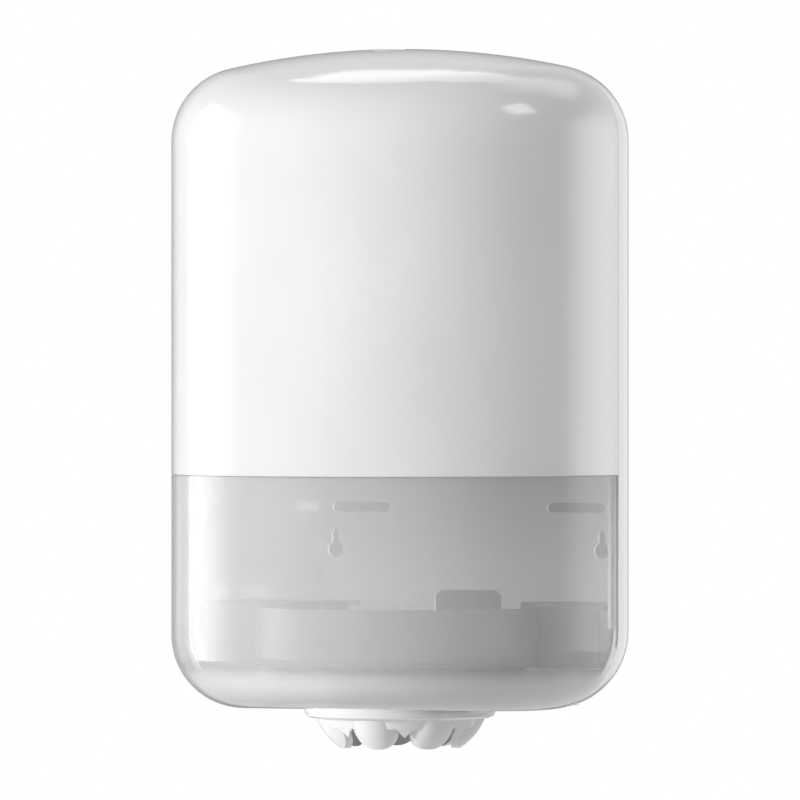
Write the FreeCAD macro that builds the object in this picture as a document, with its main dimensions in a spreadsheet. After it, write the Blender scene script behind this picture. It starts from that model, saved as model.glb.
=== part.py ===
import FreeCAD, Part
import math
import os
import re
import Sketcher
from FreeCAD import Rotation, Vector

# Centrefeed roll dispenser for a wall, in millimetres and degrees.
# Every piece is drawn in the cabinet's own frame: X across, Y from the parting seam to the wall,
# Z up from the flat underside, with the paper outlet on the Z axis. seat() then moves the frame,
# so that the finished part has its origin at the middle of the wall fixings.

SIZES = {
    # Housing
    "half_width": 119.0,
    "front_depth": 116.5,
    "rear_depth": 113.5,
    "rear_bend": 112.0,
    "rear_taper": 21.2,
    "body_height": 342.0,
    "arch_radius": 423.0,
    "crown_radius": 243.0,
    "belly_radius": 1590.0,
    "top_corner": 38.7,
    "bottom_corner": 40.0,
    "front_bottom_corner": 23.0,
    "rear_round": 3.5,
    "cover_wall": 2.6,
    "base_wall": 2.8,
    "back_thickness": 2.6,
    "seam_gap": 0.5,
    # Window joint
    "split_height": 121.2,
    "lap_height": 4.0,
    "lap_gap": 0.1,
    "joint_round": 0.5,
    # Light lip inside the seam
    "lip_length": 3.0,
    "lip_wall": 1.6,
    "lip_gap": 0.4,
    # Wall fixings
    "fixing_height": 79.8,
    "fixing_width": 149.0,
    "fixing_spread": 200.0,
    "keyhole_radius": 4.3,
    "keyhole_neck": 3.9,
    "keyhole_rise": 10.7,
    "slot_height": 102.5,
    "slot_spacing": 120.0,
    "slot_length": 32.2,
    "slot_width": 5.2,
    "notch_width": 37.6,
    "notch_top": 58.6,
    "notch_base": 40.0,
    "notch_chamfer": 3.0,
    # Cover hinge
    "knuckle_radius": 3.5,
    "knuckle_centre": 67.0,
    "knuckle_length": 12.0,
    "ear_length": 5.6,
    "ear_gap": 0.3,
    "hinge_pin_radius": 1.25,
    "cover_opening": 100.0,
    "swing_gap": 0.5,
    # Roll tray
    "tray_radius": 75.0,
    "tray_floor": 21.4,
    "tray_rim": 52.6,
    "tray_gap_level": 46.5,
    "tray_wall": 2.2,
    "tray_bend": 5.0,
    "well_radius": 52.5,
    "well_wall": 2.5,
    "collar_low": 3.0,
    "collar_height": 2.7,
    "rib_count": 10.0,
    "rib_thickness": 1.8,
    "rib_depth": 9.0,
    "wing_top": 53.8,
    "wing_thick": 2.5,
    "wing_inner": 48.0,
    "wing_front": 0.6,
    "wing_bend": 18.0,
    "wing_middle": 40.0,
    "wing_rear": 76.0,
    "wing_gap": 7.6,
    "wing_middle_gap": 12.0,
    "wing_rear_gap": 26.0,
    "wing_skirt": 2.0,
    "wing_skirt_gap": 10.6,
    "pillar_radius": 4.6,
    "pillar_wide": 84.0,
    "pillar_near": 28.0,
    "pillar_narrow": 60.0,
    "pillar_far": 65.0,
    # Nozzle
    "flange_radius": 49.7,
    "flange_top": 2.5,
    "flange_low": -4.9,
    "flange_bevel": 3.4,
    "outlet_gap": 3.3,
    "neck_radius": 44.0,
    "neck_wall": 2.4,
    "neck_gap": 0.3,
    "neck_top": 16.0,
    "skirt_radius": 44.6,
    "skirt_low": -9.7,
    "skirt_inset": 1.6,
    "petal_count": 7.0,
    "petal_turn": 22.6,
    "petal_low": -20.6,
    "petal_tip_radius": 31.5,
    "petal_spine": 34.0,
    "petal_bulge": 15.5,
    "petal_wall": 1.8,
    "petal_half_width": 11.6,
    "petal_end_round": 10.8,
    "tooth_low": -14.5,
    "tooth_radius": 35.6,
    "tooth_half_width": 4.9,
    "tooth_wall": 1.4,
    "lug_count": 3.0,
    "lug_reach": 3.0,
    "lug_half_width": 8.0,
    "lug_height": 2.5,
    "lug_gap": 0.3,
    "unlock_angle": 35.0,
    # Paper guide
    "guide_bore": 12.5,
    "guide_rise": 14.0,
    "guide_wall": 1.8,
    "guide_rim_height": 3.0,
    "guide_gap": 0.2,
    # Lock
    "lock_setback": 18.0,
    "button_radius": 9.0,
    "button_gap": 0.4,
    "button_recess": 0.4,
    "button_cap": 2.0,
    "button_tube": 7.0,
    "button_travel": 2.4,
    "slide_gap": 0.05,
    "spring_room": 5.9,
    "guide_height": 4.0,
    "barrel_radius": 4.5,
    "barrel_head": 5.6,
    "barrel_head_height": 1.1,
    "spigot_radius": 2.2,
    "cam_gap": 0.1,
    "cam_thick": 2.4,
    "cam_reach": 7.0,
    "cam_width": 7.0,
    "nose_half_width": 2.0,
    "nose_half_depth": 1.5,
    "clip_radius": 4.0,
    "clip_thick": 0.8,
    "nose_drop": 3.0,
    "key_hole_radius": 0.8,
    "key_hole_offset": 2.3,
    "key_hole_depth": 6.0,
    "case_half_width": 14.5,
    "case_wall": 2.5,
    "case_front": 19.0,
    "case_rear": 12.0,
    "case_depth": 25.0,
    "ear_reach": 11.5,
    "ear_half_depth": 5.0,
    "boss_radius": 4.0,
    "lever_arm": 13.0,
    "lever_drop": 3.3,
    "lever_half_width": 4.5,
    "lever_half_thick": 2.0,
    "pad_gap": 0.2,
    "pad_radius": 2.0,
    "eye_radius": 3.5,
    "latch_pin_radius": 1.5,
    "hook_height": 11.2,
    "hook_thick": 4.6,
    "hook_gap": 0.4,
    "hook_ramp": 2.6,
    # Strike on the base
    "strike_place": 4.5,
    "strike_thick": 1.6,
    "strike_half_width": 14.0,
    "strike_depth": 13.5,
    "strike_low": 7.5,
    "strike_high": 14.0,
    "strike_hole_offset": 9.0,
    # Springs
    "wire_radius": 0.4,
    "button_spring_radius": 8.1,
    "button_spring_turns": 2.5,
    "latch_spring_radius": 2.7,
    "latch_spring_turns": 5.0,
    "latch_spring_place": 6.0,
    # Screws
    "screw_radius": 1.45,
    "screw_head_radius": 2.8,
    "screw_head_height": 1.9,
    "screw_length": 5.0,
    "screw_gap": 0.25,
    "tray_screw_radius": 1.75,
    "tray_screw_head": 3.6,
    "tray_screw_length": 11.0,
}

doc = FreeCAD.newDocument("centrefeed_dispenser")
sheet = doc.addObject("Spreadsheet::Sheet", "Sizes")
for row, (name, value) in enumerate(SIZES.items(), start=1):
    sheet.set("A%d" % row, name)
    sheet.set("B%d" % row, str(value))
    sheet.setAlias("B%d" % row, name)
doc.recompute()

pieces = []


def size(name):
    """One driving size, read from the sheet."""
    return float(sheet.get(name))


def bound(text):
    """Expression in which each size name points at the sheet."""
    return re.sub(r"[a-z]+(_[a-z]+)+", lambda found: "Sizes." + found.group(0), text)


def seat(piece, label):
    """Names a finished piece and moves it from the cabinet's frame to the wall fixings' frame."""
    piece.Label = label
    piece.setExpression("Placement.Base.y", bound("-rear_depth"))
    piece.setExpression("Placement.Base.z", bound("-(fixing_height + fixing_spread / 2)"))
    pieces.append(piece)
    return piece


def solid_piece(label, shape):
    """A piece whose moulded form no sketch feature gives."""
    piece = doc.addObject("Part::Feature", label)
    piece.Shape = shape
    return seat(piece, label)


# Sketch helpers

def new_body(label):
    return seat(doc.addObject("PartDesign::Body", label), label)


def new_sketch(body, role, shift=None):
    """Sketch on one of the body's own origin planes, or moved along the plane's normal."""
    sketch = body.newObject("Sketcher::SketchObject", body.Name + "_sketch")
    plane = [feature for feature in body.Origin.OriginFeatures if feature.Role == role][0]
    sketch.AttachmentSupport = (plane, [""])
    sketch.MapMode = "FlatFace"
    if shift:
        sketch.setExpression("AttachmentOffset.Base.z", bound(shift))
    return sketch


def bind_point(sketch, index, end, place, across, up):
    for kind, value, text in (("DistanceX", place.x, across), ("DistanceY", place.y, up)):
        number = sketch.addConstraint(Sketcher.Constraint(kind, -1, 1, index, end, value))
        sketch.setExpression("Constraints[%d]" % number, bound(text))


def polygon(sketch, corners):
    """Closed outline, with each corner's place bound to the sheet."""
    first = sketch.GeometryCount
    count = len(corners)
    turns = [2 * math.pi * k / count for k in range(count)]
    places = [Vector(20 * math.cos(turn), 20 * math.sin(turn), 0) for turn in turns]
    for k in range(count):
        sketch.addGeometry(Part.LineSegment(places[k], places[(k + 1) % count]))
    for k in range(count):
        ends = (first + k, 2, first + (k + 1) % count, 1)
        sketch.addConstraint(Sketcher.Constraint("Coincident", *ends))
    for k, (across, up) in enumerate(corners):
        bind_point(sketch, first + k, 1, places[k], across, up)


def rectangle(sketch, left, low, right, high):
    polygon(sketch, [(left, low), (right, low), (right, high), (left, high)])


def circle(sketch, across, up, radius):
    place = Vector(0, 0, 0)
    index = sketch.addGeometry(Part.Circle(place, Vector(0, 0, 1), 5))
    bind_point(sketch, index, 3, place, across, up)
    number = sketch.addConstraint(Sketcher.Constraint("Radius", index, 5))
    sketch.setExpression("Constraints[%d]" % number, bound(radius))


def revolve(body, corners):
    """Ring or disc turned about Z from a (radius, height) outline."""
    sketch = new_sketch(body, "XZ_Plane")
    polygon(sketch, corners)
    feature = body.newObject("PartDesign::Revolution", body.Name + "_turned")
    feature.Profile = sketch
    feature.ReferenceAxis = (sketch, ["V_Axis"])
    feature.Angle = 360
    return feature


def pad(body, sketch, length, middle=False):
    feature = body.newObject("PartDesign::Pad", body.Name + "_pad")
    feature.Profile = sketch
    feature.setExpression("Length", bound(length))
    feature.Midplane = middle
    return feature


def pocket(body, sketch, length, middle=False, backwards=False):
    """Cut along the sketch's negative normal, or along its positive one when backwards."""
    feature = body.newObject("PartDesign::Pocket", body.Name + "_pocket")
    feature.Profile = sketch
    feature.setExpression("Length", bound(length))
    feature.Midplane = middle
    feature.Reversed = backwards
    return feature


def repeat_around(body, feature, count):
    """Polar pattern about the body's Z axis."""
    pattern = body.newObject("PartDesign::PolarPattern", feature.Name + "_pattern")
    pattern.Originals = [feature]
    axis = [item for item in body.Origin.OriginFeatures if item.Role == "Z_Axis"][0]
    pattern.Axis = (axis, [""])
    pattern.Angle = 360
    pattern.setExpression("Occurrences", bound(count))
    body.Tip = pattern
    return pattern


# Shape helpers, for the moulded forms

def box(low, high):
    edges = Vector(*high) - Vector(*low)
    return Part.makeBox(edges.x, edges.y, edges.z, Vector(*low))


def rod_x(start, end, depth, height, radius):
    return Part.makeCylinder(radius, end - start, Vector(start, depth, height), Vector(1, 0, 0))


def rod_y(across, start, end, height, radius):
    return Part.makeCylinder(radius, end - start, Vector(across, start, height), Vector(0, 1, 0))


def rod_z(across, depth, start, end, radius):
    return Part.makeCylinder(radius, end - start, Vector(across, depth, start), Vector(0, 0, 1))


def reach_all():
    """A length past every face of the housing."""
    return 2 * size("body_height")


def above(height):
    return box((-reach_all(), -reach_all(), height), (reach_all(), reach_all(), 2 * reach_all()))


def below(height):
    return box((-reach_all(), -reach_all(), -reach_all()), (reach_all(), reach_all(), height))


# Housing form

def crown_drop(depth):
    """Fall of the roof at a depth before or behind the seam."""
    crown = size("crown_radius")
    return crown - math.sqrt(crown * crown - depth * depth)


def mirrored(shape):
    return shape.mirror(Vector(0, 0, 0), Vector(1, 0, 0))


def roof_region(inset):
    """Space under the roof, which is an arch across and a flatter crown from front to back."""
    high = size("body_height") - inset
    arch = size("arch_radius") - inset
    across = size("half_width") * 1.2
    sag = arch - math.sqrt(arch * arch - across * across)
    axis = Vector(0, 0, high - size("crown_radius"))
    left = Vector(-across, 0, high - sag)
    right = Vector(across, 0, high - sag)
    foot_right = Vector(across, 0, axis.z)
    foot_left = Vector(-across, 0, axis.z)
    edges = [
        Part.Arc(left, Vector(0, 0, high), right),
        Part.LineSegment(right, foot_right),
        Part.LineSegment(foot_right, foot_left),
        Part.LineSegment(foot_left, left),
    ]
    face = Part.Face(Part.Wire([edge.toShape() for edge in edges]))
    face.rotate(axis, Vector(1, 0, 0), -90)
    roof = face.revolve(axis, Vector(1, 0, 0), 180)
    deep = size("crown_radius")
    return roof.fuse(box((-across, -deep, -1), (across, deep, axis.z)))


def plan_prism(edges):
    """Upright block over one quarter of the plan."""
    wire = Part.Wire([edge.toShape() for edge in edges])
    return Part.Face(wire).extrude(Vector(0, 0, size("body_height")))


def long_edges(solid, high, low_depth, high_depth):
    """Edges round the roof, or round the underside, between two depths."""
    middle = size("body_height") / 2
    found = []
    for edge in solid.Edges:
        limits = edge.BoundBox
        flat = limits.ZMax - limits.ZMin < middle / 2
        level = (limits.ZMin > middle) == high
        depth = edge.CenterOfMass.y
        side = edge.CenterOfMass.x
        if flat and level and side > 1 and low_depth < depth < high_depth:
            found.append(edge)
    return found


def plan_ellipse(half, reach):
    """The cover's plan, whichever of its two half axes is the longer."""
    if half > reach:
        return Part.Ellipse(Vector(half, 0, 0), Vector(0, reach, 0), Vector(0, 0, 0))
    return Part.Ellipse(Vector(0, -reach, 0), Vector(half, 0, 0), Vector(0, 0, 0))


def front_skin(inset):
    """Solid bounded by the cover's surface, moved inwards by inset: a half ellipse in plan."""
    half = size("half_width") - inset
    reach = size("front_depth") - inset
    start = -size("seam_gap") / 2
    side = half * math.sqrt(1 - (start / reach) ** 2)
    ellipse = plan_ellipse(half, reach)
    nose = ellipse.parameter(Vector(0, -reach, 0))
    seam = ellipse.parameter(Vector(side, start, 0))
    quarter = plan_prism([
        Part.ArcOfEllipse(ellipse, nose, seam),
        Part.LineSegment(Vector(side, start, 0), Vector(0, start, 0)),
        Part.LineSegment(Vector(0, start, 0), Vector(0, -reach, 0)),
    ])
    belly = size("belly_radius") - inset
    under = rod_x(-1, half + 1, 0, size("belly_radius"), belly)
    quarter = quarter.common(roof_region(inset)).common(under)
    quarter = quarter.makeFillet(size("top_corner") - inset, long_edges(quarter, True, -reach, start - 1))
    edges = long_edges(quarter, False, -reach, start - 1)
    first = edges[0].valueAt(edges[0].FirstParameter).y > -reach / 2
    radii = [size("bottom_corner") - inset, size("front_bottom_corner") - inset]
    if not first:
        radii.reverse()
    quarter = quarter.makeFillet(radii[0], radii[1], edges)
    return quarter.fuse(mirrored(quarter)).removeSplitter()


def rear_skin(inset, end):
    """Solid bounded by the base's surface, from the seam to a depth: a bend, then a taper."""
    half = size("half_width") - inset
    bend = size("rear_bend") - inset
    taper = math.radians(size("rear_taper"))
    start = size("seam_gap") / 2
    centre = half - bend

    def on(turn):
        return Vector(centre + bend * math.cos(turn), bend * math.sin(turn), 0)

    first = math.asin(start / bend)
    tangent = on(taper)
    corner = Vector(tangent.x - (end - tangent.y) * math.tan(taper), end, 0)
    quarter = plan_prism([
        Part.Arc(on(first), on((first + taper) / 2), tangent),
        Part.LineSegment(tangent, corner),
        Part.LineSegment(corner, Vector(0, end, 0)),
        Part.LineSegment(Vector(0, end, 0), Vector(0, start, 0)),
        Part.LineSegment(Vector(0, start, 0), on(first)),
    ])
    quarter = quarter.common(roof_region(inset)).common(above(inset))
    quarter = quarter.makeFillet(size("top_corner") - inset, long_edges(quarter, True, start + 1, end - 1))
    quarter = quarter.makeFillet(size("bottom_corner") - inset, long_edges(quarter, False, start + 1, end - 1))
    whole = quarter.fuse(mirrored(quarter)).removeSplitter()
    rim = [edge for edge in whole.Edges if edge.CenterOfMass.y > end - 0.01]
    return whole.makeFillet(max(size("rear_round") - inset, size("rear_round") / 4), rim)


def seam_prism(inset, start, end):
    """The seam's outline, moved inwards by inset and drawn out along Y."""
    half = size("half_width") - inset
    low = inset
    high = size("body_height") - inset
    corner_low = size("bottom_corner") - inset
    corner_high = size("top_corner") - inset
    arch = size("arch_radius") - inset
    rise = math.sqrt((arch - corner_high) ** 2 - (half - corner_high) ** 2)
    side_top = high - arch + rise
    slope = math.atan2(rise, half - corner_high)

    def corner(side, across, height, radius, turn):
        return Vector(side * (across + radius * math.cos(turn)), start, height + radius * math.sin(turn))

    def side_edges(side):
        foot = corner(side, half - corner_low, low + corner_low, corner_low, -math.pi / 2)
        foot_bend = corner(side, half - corner_low, low + corner_low, corner_low, -math.pi / 4)
        side_low = corner(side, half - corner_low, low + corner_low, corner_low, 0)
        side_high = corner(side, half - corner_high, side_top, corner_high, 0)
        head_bend = corner(side, half - corner_high, side_top, corner_high, slope / 2)
        head = corner(side, half - corner_high, side_top, corner_high, slope)
        return foot, head, [
            Part.Arc(foot, foot_bend, side_low),
            Part.LineSegment(side_low, side_high),
            Part.Arc(side_high, head_bend, head),
        ]

    foot_right, head_right, right = side_edges(1)
    foot_left, head_left, left = side_edges(-1)
    roof = Part.Arc(head_left, Vector(0, start, high), head_right)
    edges = right + left + [roof, Part.LineSegment(foot_left, foot_right)]
    outline = Part.__sortEdges__([edge.toShape() for edge in edges])
    return Part.Face(Part.Wire(outline)).extrude(Vector(0, end - start, 0))


# Values that several pieces share

def hinge_height():
    return size("knuckle_radius")


def hinge_reach():
    """Depth behind the pin that the swinging cover needs clear."""
    half_turn = math.radians(size("cover_opening") / 2)
    return size("knuckle_radius") * math.tan(half_turn) + size("swing_gap")


def swing_height():
    """Height under which the base leaves room for the lower edge of the open cover."""
    lift = max(0.0, -math.cos(math.radians(size("cover_opening"))))
    return hinge_height() + size("knuckle_radius") * lift + size("swing_gap")


def outlet_radius():
    return size("flange_radius") + size("outlet_gap")


def collar_top():
    return size("collar_low") + size("collar_height")


def knuckle_span(side):
    """Start and end across of the cover's knuckle."""
    middle = side * size("knuckle_centre")
    return middle - size("knuckle_length") / 2, middle + size("knuckle_length") / 2


def ear_spans(side):
    """Starts and ends across of the base's two ears round one knuckle."""
    start, end = knuckle_span(side)
    gap = size("ear_gap")
    width = size("ear_length")
    return [(start - gap - width, start - gap), (end + gap, end + gap + width)]


def pillar_places():
    near = [(side * size("pillar_wide"), size("pillar_near")) for side in (-1, 1)]
    far = [(side * size("pillar_narrow"), size("pillar_far")) for side in (-1, 1)]
    return near + far


# Base

def stadium(across, height, length, width, start, end):
    """Slot with round ends, cut along Y."""
    half = (length - width) / 2
    slot = box((across - half, start, height - width / 2), (across + half, end, height + width / 2))
    for side in (-1, 1):
        slot = slot.fuse(rod_y(across + side * half, start, end, height, width / 2))
    return slot


def keyhole(across, height, start, end):
    """Round hole for a screw's head, with a narrow neck above it."""
    neck = size("keyhole_neck") / 2
    top = height + size("keyhole_rise") - neck
    hole = rod_y(across, start, end, height, size("keyhole_radius"))
    hole = hole.fuse(box((across - neck, start, height), (across + neck, end, top)))
    return hole.fuse(rod_y(across, start, end, top, neck))


def back_notch(start, end):
    """Opening low in the back wall, with cut top corners."""
    half = size("notch_width") / 2
    cut = size("notch_chamfer")
    low = size("notch_base")
    top = size("notch_top")
    corners = [(-half, low), (half, low), (half, top - cut), (half - cut, top)]
    corners += [(cut - half, top), (-half, top - cut), (-half, low)]
    wire = Part.makePolygon([Vector(across, start, height) for across, height in corners])
    return Part.Face(wire).extrude(Vector(0, end - start, 0))


def wall_openings():
    start = size("rear_depth") - 3 * size("back_thickness")
    end = size("rear_depth") + size("back_thickness")
    cuts = [back_notch(start, end)]
    for side in (-1, 1):
        slot = (side * size("slot_spacing") / 2, size("slot_height"))
        cuts.append(stadium(*slot, size("slot_length"), size("slot_width"), start, end))
        for level in (0, 1):
            height = size("fixing_height") + level * size("fixing_spread")
            cuts.append(keyhole(side * size("fixing_width") / 2, height, start, end))
    return cuts


def seam_lip():
    """Rib inside the seam that the closed cover slips over, above the bottom corners."""
    outer = size("base_wall") + size("lip_gap")
    inner = outer + size("lip_wall")
    start = size("seam_gap") / 2
    lip = seam_prism(outer, -size("lip_length"), start + 4).cut(seam_prism(inner, -reach_all(), reach_all()))
    root = seam_prism(size("base_wall") / 2, start, start + 4)
    lip = lip.fuse(root.cut(seam_prism(inner, -reach_all(), reach_all())))
    side = size("half_width")
    keep = box((-side, -reach_all(), size("bottom_corner") + 2), (side, reach_all(), reach_all()))
    return lip.common(keep)


def wing_underside():
    return size("wing_top") - size("wing_thick")


def tray_pillar(across, depth):
    """Post under one of the tray's wings."""
    low = size("base_wall") / 2
    return rod_z(across, depth, low, wing_underside(), size("pillar_radius"))


def pillar_bore(across, depth):
    top = wing_underside()
    bore_depth = size("tray_screw_length") + 1
    return rod_z(across, depth, top - bore_depth, top + 1, size("tray_screw_radius") + 0.02)


def hinge_ear(start, end):
    """Bored ear of the base, tangent to its floor."""
    centre = hinge_height()
    back = hinge_reach() + size("knuckle_radius")
    ear = rod_x(start, end, 0, centre, size("knuckle_radius"))
    profile = [(0, 0), (0, 2 * centre), (back, size("base_wall")), (back, 0), (0, 0)]
    wire = Part.makePolygon([Vector(start, depth, height) for depth, height in profile])
    brace = Part.Face(wire).extrude(Vector(end - start, 0, 0))
    return ear.fuse(brace)


def strike_level():
    """Height of the strike plate's upper face."""
    return latch_pivot_height() + size("strike_high")


def strike_boss(side):
    """Boss under the base's roof for one screw of the strike."""
    across = side * size("strike_hole_offset")
    depth = size("strike_place") + size("strike_depth") * 0.62
    top = size("body_height") - crown_drop(depth) - size("base_wall") / 2
    boss = rod_z(across, depth, strike_level(), top, size("boss_radius"))
    bore_end = strike_level() + size("screw_length") - size("strike_thick") + 0.5
    bore = rod_z(across, depth, strike_level() - 1, bore_end, size("screw_radius") + 0.02)
    return boss.cut(bore)


def back_shell():
    """Rear half of the housing, open towards the cover."""
    wall = size("base_wall")
    end = size("rear_depth")
    shell = rear_skin(0, end).cut(rear_skin(wall, end - size("back_thickness")))
    foot = box((-reach_all(), -1, -1), (reach_all(), hinge_reach(), swing_height()))
    outlet = rod_z(0, 0, -1, 3 * wall, outlet_radius())
    shell = shell.cut([foot, outlet] + wall_openings())
    ears = [hinge_ear(*span) for side in (-1, 1) for span in ear_spans(side)]
    pillars = [tray_pillar(*place) for place in pillar_places()]
    bosses = [strike_boss(side) for side in (-1, 1)]
    shell = shell.fuse([seam_lip()] + ears + pillars + bosses)
    pin_bore = rod_x(-reach_all(), reach_all(), 0, hinge_height(), size("hinge_pin_radius") + 0.02)
    reach = ear_spans(1)[1][1] + size("ear_gap")
    limit = box((-reach, -hinge_height(), 0), (reach, hinge_height(), 2 * hinge_height()))
    bores = [pillar_bore(*place) for place in pillar_places()]
    return shell.cut([pin_bore.common(limit)] + bores)


# Cover

def cover_skin():
    return front_skin(0).cut(front_skin(size("cover_wall")))


def joint_edges(shape, height):
    """Outer edges of the window joint at a height."""
    reach = size("front_depth")
    across = size("half_width")
    found = []
    for edge in shape.Edges:
        limits = edge.BoundBox
        if abs(limits.ZMin - height) < 0.01 and abs(limits.ZMax - height) < 0.01:
            place = edge.valueAt((edge.FirstParameter + edge.LastParameter) / 2)
            if abs((place.x / across) ** 2 + (place.y / reach) ** 2 - 1) < 0.001:
                found.append(edge)
    return found


def lock_ear_place():
    """Distance across from the button to each screw of the lock case."""
    return size("case_half_width") + size("ear_reach") / 2


def cover_shell():
    """Opaque upper part of the cover, with the button's hole and the lock's bosses."""
    lap = size("lap_gap") / 2
    rebate = front_skin(size("cover_wall") / 2 - lap).common(below(size("split_height") + size("lap_height")))
    shell = cover_skin().common(above(size("split_height"))).cut(rebate)
    shell = shell.makeFillet(size("joint_round"), joint_edges(shell, size("split_height")))
    depth = -size("lock_setback")
    bosses = []
    bores = []
    for side in (-1, 1):
        across = side * lock_ear_place()
        top = size("body_height") - size("cover_wall") / 2 - crown_drop(depth) - 0.6
        bosses.append(rod_z(across, depth, guide_top() + 0.1, top, size("boss_radius")))
        bore_end = guide_top() - size("guide_height") + size("screw_length") + 2.5
        bores.append(rod_z(across, depth, guide_top() - 1, bore_end, size("screw_radius") + 0.02))
    shell = shell.fuse(bosses)
    hole = rod_z(0, depth, cap_underside() - 2, size("body_height") + 5, size("button_radius") + size("button_gap"))
    return shell.cut(bores + [hole])


def cover_window():
    """Translucent lower part of the cover, with the hinge knuckles and the outlet's half."""
    lap = size("lap_gap") / 2
    wall = size("cover_wall")
    split = size("split_height") - size("lap_gap")
    window = cover_skin().common(below(split))
    window = window.makeFillet(size("joint_round"), joint_edges(window, split))
    tongue = front_skin(wall / 2 + lap).cut(front_skin(wall))
    band = above(split - 1).common(below(split + size("lap_height")))
    window = window.fuse(tongue.common(band))
    outlet = rod_z(0, 0, -1, 3 * wall, outlet_radius())
    cuts = [outlet]
    knuckles = []
    for side in (-1, 1):
        start, end = knuckle_span(side)
        gap = size("ear_gap")
        reach = size("ear_length") + 2 * gap
        cut_back = hinge_reach() + 0.3
        for left, right in ((start - reach, start), (end, end + reach)):
            cuts.append(box((left, -cut_back, -1), (right, 1, 2 * hinge_height() + 1)))
        knuckles.append(rod_x(start, end, 0, hinge_height(), size("knuckle_radius")))
        knuckles.append(box((start, -cut_back, size("cover_wall") / 3), (end, 0, wall)))
    window = window.cut(cuts).fuse(knuckles)
    bores = []
    for side in (-1, 1):
        start, end = knuckle_span(side)
        bores.append(rod_x(start - 1, end + 1, 0, hinge_height(), size("hinge_pin_radius") + size("slide_gap")))
    return window.cut(bores)


def hinge_pin(side):
    """Steel pin through two ears and the knuckle between them."""
    spans = ear_spans(side)
    pin = doc.addObject("Part::Cylinder", "hinge_pin")
    pin.setExpression("Radius", bound("hinge_pin_radius"))
    pin.setExpression("Height", bound("knuckle_length + 2 * (ear_gap + ear_length)"))
    pin.Placement = FreeCAD.Placement(Vector(spans[0][0], 0, 0), Rotation(Vector(0, 1, 0), 90))
    seat(pin, "hinge_pin_left" if side < 0 else "hinge_pin_right")
    pin.setExpression("Placement.Base.z", bound("knuckle_radius - (fixing_height + fixing_spread / 2)"))
    start = "%d * knuckle_centre - knuckle_length / 2 - ear_gap - ear_length" % side
    pin.setExpression("Placement.Base.x", bound(start))
    return pin


# Roll tray

def roll_tray():
    """Cup that the roll stands on, with two wings on the base's posts and a well for the nozzle."""
    body = new_body("roll_tray")
    floor_top = "tray_floor + well_wall"
    collar = "neck_radius + neck_gap"
    revolve(body, [
        (collar, "collar_low"),
        ("well_radius", "collar_low"),
        ("well_radius", "tray_floor"),
        ("tray_radius - tray_bend", "tray_floor"),
        ("tray_radius - tray_bend * 0.3", "tray_floor + tray_bend * 0.3"),
        ("tray_radius", "tray_floor + tray_bend"),
        ("tray_radius", "tray_rim"),
        ("tray_radius - tray_wall", "tray_rim"),
        ("tray_radius - tray_wall", floor_top + " + tray_bend * 0.7"),
        ("tray_radius - tray_wall - tray_bend * 0.2", floor_top + " + tray_bend * 0.2"),
        ("tray_radius - tray_wall - tray_bend * 0.7", floor_top),
        ("well_radius - well_wall", floor_top),
        ("well_radius - well_wall", "collar_low + collar_height"),
        (collar, "collar_low + collar_height"),
    ])
    ribs = new_sketch(body, "XZ_Plane")
    rectangle(ribs, "well_radius - well_wall / 2", "tray_floor - rib_depth",
              "tray_radius - tray_bend - 2", "tray_floor + well_wall / 2")
    rib = pad(body, ribs, "rib_thickness", middle=True)
    repeat_around(body, rib, "rib_count")
    wings = new_sketch(body, "XY_Plane", "wing_top - wing_thick")
    skirts = new_sketch(body, "XY_Plane", "tray_floor")
    for side in ("", "-"):
        polygon(wings, [
            (side + "wing_inner", "wing_front"),
            (side + "(half_width - wing_gap)", "wing_front"),
            (side + "(half_width - wing_gap)", "wing_bend"),
            (side + "(half_width - wing_middle_gap)", "wing_middle"),
            (side + "(half_width - wing_rear_gap)", "wing_rear"),
            (side + "wing_inner", "wing_rear"),
        ])
        rectangle(skirts, side + "(tray_radius - tray_wall / 2)", "wing_front",
                  side + "(half_width - wing_skirt_gap)", "wing_front + wing_skirt")
    pad(body, wings, "wing_thick")
    pad(body, skirts, "wing_top - tray_floor - wing_thick / 2")
    hollow = new_sketch(body, "XY_Plane", "wing_top + 1")
    circle(hollow, "0 * tray_radius", "0 * tray_radius", "tray_radius - tray_wall")
    pocket(body, hollow, "wing_thick + 1.5")
    gap = new_sketch(body, "XY_Plane", "wing_top + 1")
    rectangle(gap, "-wing_inner", "tray_radius / 3", "wing_inner", "tray_radius + 2")
    pocket(body, gap, "wing_top + 1 - tray_gap_level")
    entries = new_sketch(body, "XY_Plane", "collar_low - 1")
    reach = "neck_radius + lug_reach + neck_gap"
    half = "(lug_half_width + 2 * lug_gap)"
    rectangle(entries, "neck_radius - 3", "-" + half, reach, half)
    entry = pocket(body, entries, "collar_height + 2", backwards=True)
    repeat_around(body, entry, "lug_count")
    holes = new_sketch(body, "XY_Plane", "wing_top + 1")
    seats = new_sketch(body, "XY_Plane", "wing_top + 1")
    for across, depth in (("pillar_wide", "pillar_near"), ("pillar_narrow", "pillar_far")):
        for side in ("", "-"):
            circle(holes, side + across, depth, "tray_screw_radius + screw_gap")
            circle(seats, side + across, depth, "tray_screw_head + screw_gap")
    pocket(body, holes, "wing_thick + 2")
    pocket(body, seats, "1 + wing_thick * 0.5")
    return body


# Nozzle

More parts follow.
